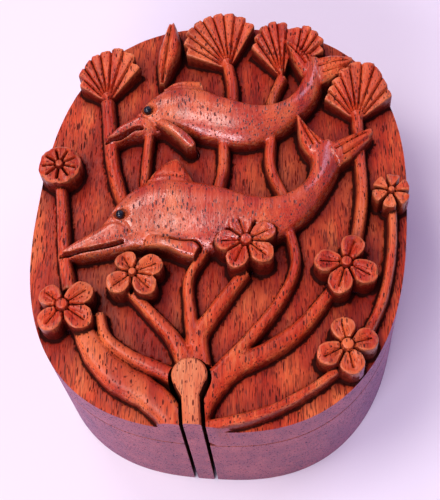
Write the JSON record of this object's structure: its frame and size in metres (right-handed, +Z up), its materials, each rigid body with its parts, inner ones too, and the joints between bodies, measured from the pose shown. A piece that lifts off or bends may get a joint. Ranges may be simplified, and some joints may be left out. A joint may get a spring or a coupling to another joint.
{
  "type": "carved wooden puzzle box",
  "caption": "Oval wooden keepsake box with dolphins, sea fans and flowers carved in relief on a pegged lid, locked by a keyhole-shaped wooden key.",
  "frame": {"origin": "middle of the underside, on the table", "axes": "+Z up, +Y along the box from the key end to the peg end, +X to the right seen from the key end"},
  "size_m": [0.112, 0.1394, 0.0568],
  "materials": {
    "carved_wood": "waxed red-brown hardwood, carved",
    "case_wood": "sawn and sanded red-brown hardwood",
    "peg_wood": "turned dowel, unfinished",
    "eye_bead": "black gloss bead"
  },
  "bodies": {
    "case": {"case_wall": "case_wood", "base_board": "case_wood"},
    "lid": {"lid": "carved_wood", "pivot_peg": "peg_wood", "eye_inlay_upper": "eye_bead", "eye_inlay_lower": "eye_bead"},
    "key": {"lock_key": "carved_wood"}
  },
  "joints": [
    {"name": "key_lift", "type": "slide", "parent": "case", "child": "key", "axis": [0, 0, 1], "range_m": [0, 0.06]},
    {"name": "lid_lift", "type": "slide", "parent": "case", "child": "lid", "axis": [0, 0, 1], "range_m": [0, 0.07]}
  ]
}
